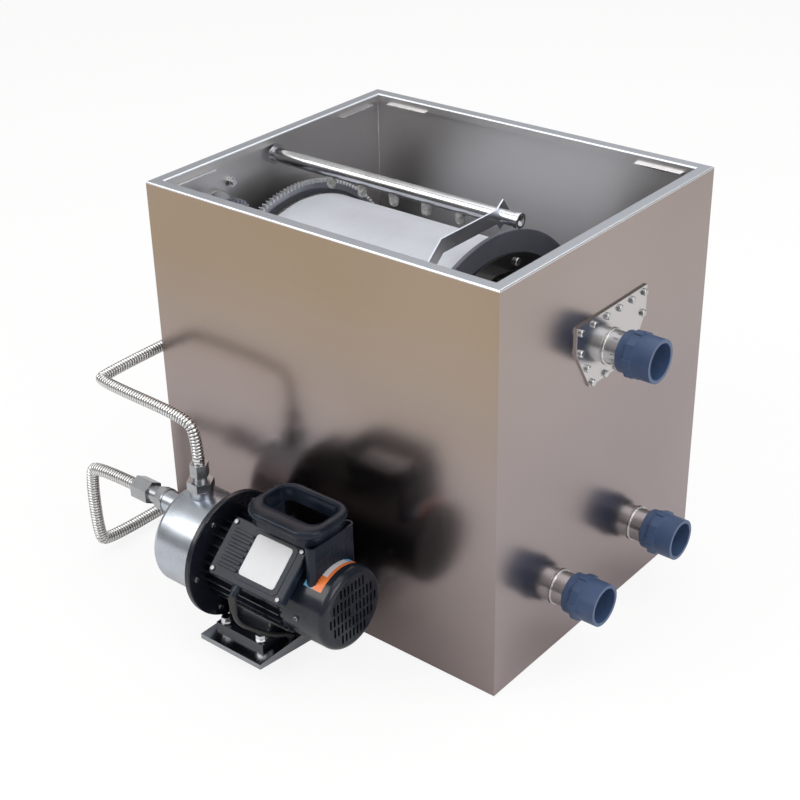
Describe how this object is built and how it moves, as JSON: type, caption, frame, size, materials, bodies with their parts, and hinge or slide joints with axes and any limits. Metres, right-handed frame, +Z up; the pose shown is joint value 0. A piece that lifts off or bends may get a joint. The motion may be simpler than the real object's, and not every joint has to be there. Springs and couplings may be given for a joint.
{
  "type": "rotary drum filter",
  "caption": "Rotary drum filter for pond water: a stainless tank with a geared screen drum, a spray bar, a sludge trough, pipe sockets and a wash pump on its front.",
  "frame": {"origin": "centre of the underside of the tank", "axes": "+X along the drum axis to the inlet wall, +Y from the pump wall to the back wall, +Z up"},
  "size_m": [0.762, 0.7009, 0.6],
  "materials": {
    "tank_sheet": "brushed",
    "bright_steel": "polished",
    "steel_fitting": "satin",
    "black_paint": "gloss",
    "black_disc": "satin",
    "gear_steel": "machined",
    "screen_mesh": "woven",
    "grey_pvc": "moulded",
    "black_plastic": "moulded",
    "rubber": "matte",
    "white_plastic": "moulded",
    "cast_iron": "cast",
    "lead_sheath": "satin",
    "gearbox_paint": "satin"
  },
  "bodies": {
    "tank": {"tank_floor": "tank_sheet", "front_wall": "tank_sheet", "back_wall": "tank_sheet", "left_wall": "tank_sheet", "right_wall": "tank_sheet", "lid_rests": "tank_sheet", "partition": "tank_sheet", "drum_seal": "rubber", "shield_plate": "tank_sheet", "shield_bolts": "bright_steel", "sludge_trough": "tank_sheet", "waste_stub": "bright_steel", "waste_adaptor": "grey_pvc", "inlet_stubs": "bright_steel", "inlet_adaptors": "grey_pvc", "outlet_stubs": "bright_steel", "outlet_adaptors": "grey_pvc", "spray_bar": "bright_steel", "spray_end_cap": "bright_steel", "spray_nuts": "bright_steel", "spray_nozzles": "white_plastic", "spray_bracket": "steel_fitting", "spray_elbow": "bright_steel", "drum_bearing": "cast_iron", "pinion_bearing": "steel_fitting", "gearbox": "gearbox_paint", "gearbox_bolts": "bright_steel", "drum_motor": "black_paint", "roller_brackets": "steel_fitting", "pump_shelf": "tank_sheet", "pump_barrel": "bright_steel", "priming_plug": "bright_steel", "pump_unions": "bright_steel", "motor_flange": "black_paint", "motor_housing": "black_paint", "fan_cover": "black_plastic", "terminal_box": "black_plastic", "terminal_cover": "black_plastic", "cover_screws": "bright_steel", "carry_handle": "black_plastic", "foot_bolts": "bright_steel", "discharge_hose": "steel_fitting", "suction_hose": "steel_fitting", "power_lead": "lead_sheath", "lead_coil": "lead_sheath"},
    "drum": {"drum_screen": "screen_mesh", "drum_frame": "steel_fitting", "drum_end_disc": "black_disc", "drum_end_ring": "black_disc", "drum_clamp_ring": "black_plastic", "drum_end_bolts": "bright_steel", "drum_stub_shaft": "steel_fitting", "ring_gear": "gear_steel"},
    "pinion": {"pinion": "gear_steel", "pinion_shaft": "steel_fitting"},
    "roller_front": {"roller_front": "white_plastic"},
    "roller_back": {"roller_back": "white_plastic"},
    "pump_rotor": {"motor_rotor": "steel_fitting", "cooling_fan": "black_plastic", "impeller": "steel_fitting"}
  },
  "joints": [
    {"name": "drum_spin", "type": "hinge", "parent": "tank", "child": "drum", "pos_m": [-0.25, 0, 0.299], "axis": [1, 0, 0], "continuous": true},
    {"name": "pinion_spin", "type": "hinge", "parent": "tank", "child": "pinion", "pos_m": [-0.254, -0.13005, 0.51543], "axis": [1, 0, 0], "continuous": true},
    {"name": "roller_front_spin", "type": "hinge", "parent": "tank", "child": "roller_front", "pos_m": [0.107, -0.16346, 0.10419], "axis": [1, 0, 0], "continuous": true},
    {"name": "roller_back_spin", "type": "hinge", "parent": "tank", "child": "roller_back", "pos_m": [0.107, 0.16346, 0.10419], "axis": [1, 0, 0], "continuous": true},
    {"name": "pump_spin", "type": "hinge", "parent": "tank", "child": "pump_rotor", "pos_m": [0, -0.347, 0.127], "axis": [1, 0, 0], "continuous": true}
  ],
  "couplings": [
    {"joint": "pinion_spin", "follows": "drum_spin", "ratio": -8.1818},
    {"joint": "roller_front_spin", "follows": "drum_spin", "ratio": -11.7},
    {"joint": "roller_back_spin", "follows": "drum_spin", "ratio": -11.7}
  ]
}
